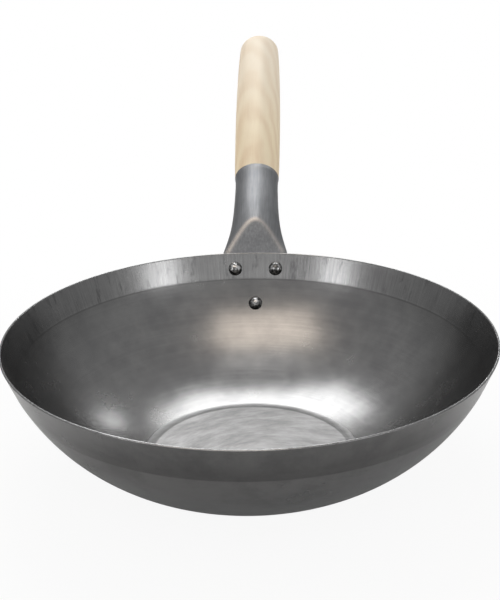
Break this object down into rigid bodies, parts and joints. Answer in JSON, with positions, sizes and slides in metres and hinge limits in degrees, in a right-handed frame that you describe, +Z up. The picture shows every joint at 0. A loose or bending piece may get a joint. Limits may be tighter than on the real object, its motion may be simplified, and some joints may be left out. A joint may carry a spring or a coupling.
{
  "type": "wok",
  "caption": "Flat-bottomed carbon steel wok with a plain band under its rim, a pressed steel handle socket riveted to its wall and a turned wooden grip.",
  "frame": {"origin": "centre of the underside of the flat base, on the surface that the wok stands on", "axes": "+Z up through the bowl's centre, +Y from the centre towards the handle, +X to the right of someone who faces the handle across the bowl"},
  "size_m": [0.3556, 0.6054, 0.2511],
  "materials": {
    "bowl_steel": "bare carbon steel, fine spun scratches, unseasoned",
    "socket_steel": "bare pressed steel, satin",
    "grip_wood": "pale smooth wood, unvarnished",
    "screw_steel": "plain steel screw",
    "rivet_steel": "darkened steel, polished dome"
  },
  "bodies": {
    "root": {"bowl": "bowl_steel", "handle_socket": "socket_steel", "grip": "grip_wood", "grip_screw": "screw_steel", "rivet_upper_left": "rivet_steel", "rivet_upper_right": "rivet_steel", "rivet_lower": "rivet_steel"}
  },
  "joints": []
}
